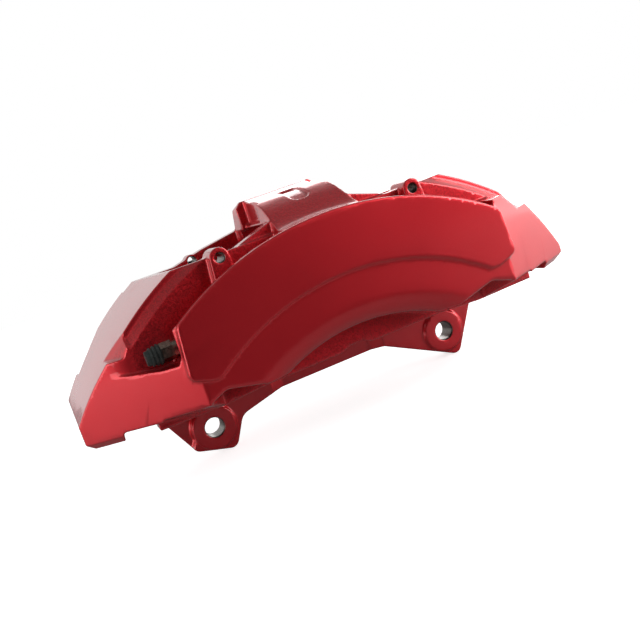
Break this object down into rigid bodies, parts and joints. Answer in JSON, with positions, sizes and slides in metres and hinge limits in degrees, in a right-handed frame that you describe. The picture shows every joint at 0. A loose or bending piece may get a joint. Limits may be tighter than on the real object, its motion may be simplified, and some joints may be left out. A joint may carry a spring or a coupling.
{
  "type": "brake caliper",
  "caption": "Fixed brake caliper cast in one piece: opposed pistons, arched bridge between two pad windows, slot for a large ventilated disc, and two bolt-on mounting lugs",
  "frame": {"origin": "midway between the two lug bolt holes, on the lugs' flat knuckle-side face", "axes": "+X along the caliper to the right as seen from outboard, +Y inboard along the wheel axle, +Z outward from the axle"},
  "size_m": [0.3585, 0.1656, 0.1602],
  "materials": {
    "caliper_paint": "red metallic lacquer under satin-gloss clear coat over cast aluminium, bare machined metal in the bores",
    "piston_alloy": "turned and hard anodised, fine turning lines",
    "seal_rubber": "smooth moulded black rubber",
    "stainless_sheet": "rolled stainless sheet, fine brushing",
    "fastener_steel": "zinc-plated steel",
    "bleeder_steel": "dull plated steel",
    "cap_rubber": "matt ribbed rubber"
  },
  "bodies": {
    "caliper": {"caliper_body": "caliper_paint", "piston_seal_outboard_leading": "seal_rubber", "piston_seal_outboard_middle": "seal_rubber", "piston_seal_outboard_trailing": "seal_rubber", "piston_seal_inboard_leading": "seal_rubber", "piston_seal_inboard_middle": "seal_rubber", "piston_seal_inboard_trailing": "seal_rubber", "dust_wiper_outboard_leading": "seal_rubber", "dust_wiper_outboard_middle": "seal_rubber", "dust_wiper_outboard_trailing": "seal_rubber", "dust_wiper_inboard_leading": "seal_rubber", "dust_wiper_inboard_middle": "seal_rubber", "dust_wiper_inboard_trailing": "seal_rubber", "abutment_plate_outboard_trailing": "stainless_sheet", "abutment_plate_outboard_leading": "stainless_sheet", "abutment_plate_inboard_trailing": "stainless_sheet", "abutment_plate_inboard_leading": "stainless_sheet", "abutment_screws": "fastener_steel", "passage_plug": "fastener_steel"},
    "outboard_leading_piston": {"piston_outboard_leading": "piston_alloy"},
    "outboard_middle_piston": {"piston_outboard_middle": "piston_alloy"},
    "outboard_trailing_piston": {"piston_outboard_trailing": "piston_alloy"},
    "inboard_leading_piston": {"piston_inboard_leading": "piston_alloy"},
    "inboard_middle_piston": {"piston_inboard_middle": "piston_alloy"},
    "inboard_trailing_piston": {"piston_inboard_trailing": "piston_alloy"},
    "outboard_bleeder": {"bleeder_screw_outboard": "bleeder_steel"},
    "inboard_bleeder": {"bleeder_screw_inboard": "bleeder_steel"},
    "outboard_cap": {"bleeder_cap_outboard": "cap_rubber"},
    "inboard_cap": {"bleeder_cap_inboard": "cap_rubber"}
  },
  "joints": [
    {"name": "outboard_leading_piston_slide", "type": "slide", "parent": "caliper", "child": "outboard_leading_piston", "axis": [0, 1, 0], "range_m": [-0.003, 0.01]},
    {"name": "outboard_middle_piston_slide", "type": "slide", "parent": "caliper", "child": "outboard_middle_piston", "axis": [0, 1, 0], "range_m": [-0.003, 0.01]},
    {"name": "outboard_trailing_piston_slide", "type": "slide", "parent": "caliper", "child": "outboard_trailing_piston", "axis": [0, 1, 0], "range_m": [-0.003, 0.01]},
    {"name": "inboard_leading_piston_slide", "type": "slide", "parent": "caliper", "child": "inboard_leading_piston", "axis": [0, -1, 0], "range_m": [-0.003, 0.01]},
    {"name": "inboard_middle_piston_slide", "type": "slide", "parent": "caliper", "child": "inboard_middle_piston", "axis": [0, -1, 0], "range_m": [-0.003, 0.01]},
    {"name": "inboard_trailing_piston_slide", "type": "slide", "parent": "caliper", "child": "inboard_trailing_piston", "axis": [0, -1, 0], "range_m": [-0.003, 0.01]},
    {"name": "outboard_bleeder_turn", "type": "hinge", "parent": "caliper", "child": "outboard_bleeder", "pos_m": [-0.11054, -0.097, 0.072], "axis": [-1, 0, 0], "range_deg": [0, 360]},
    {"name": "inboard_bleeder_turn", "type": "hinge", "parent": "caliper", "child": "inboard_bleeder", "pos_m": [-0.09704, 0.031, 0.088], "axis": [0, 1, 0], "range_deg": [0, 360]},
    {"name": "outboard_cap_pull", "type": "slide", "parent": "outboard_bleeder", "child": "outboard_cap", "axis": [-1, 0, 0], "range_m": [0, 0.02]},
    {"name": "inboard_cap_pull", "type": "slide", "parent": "inboard_bleeder", "child": "inboard_cap", "axis": [0, 1, 0], "range_m": [0, 0.02]}
  ]
}
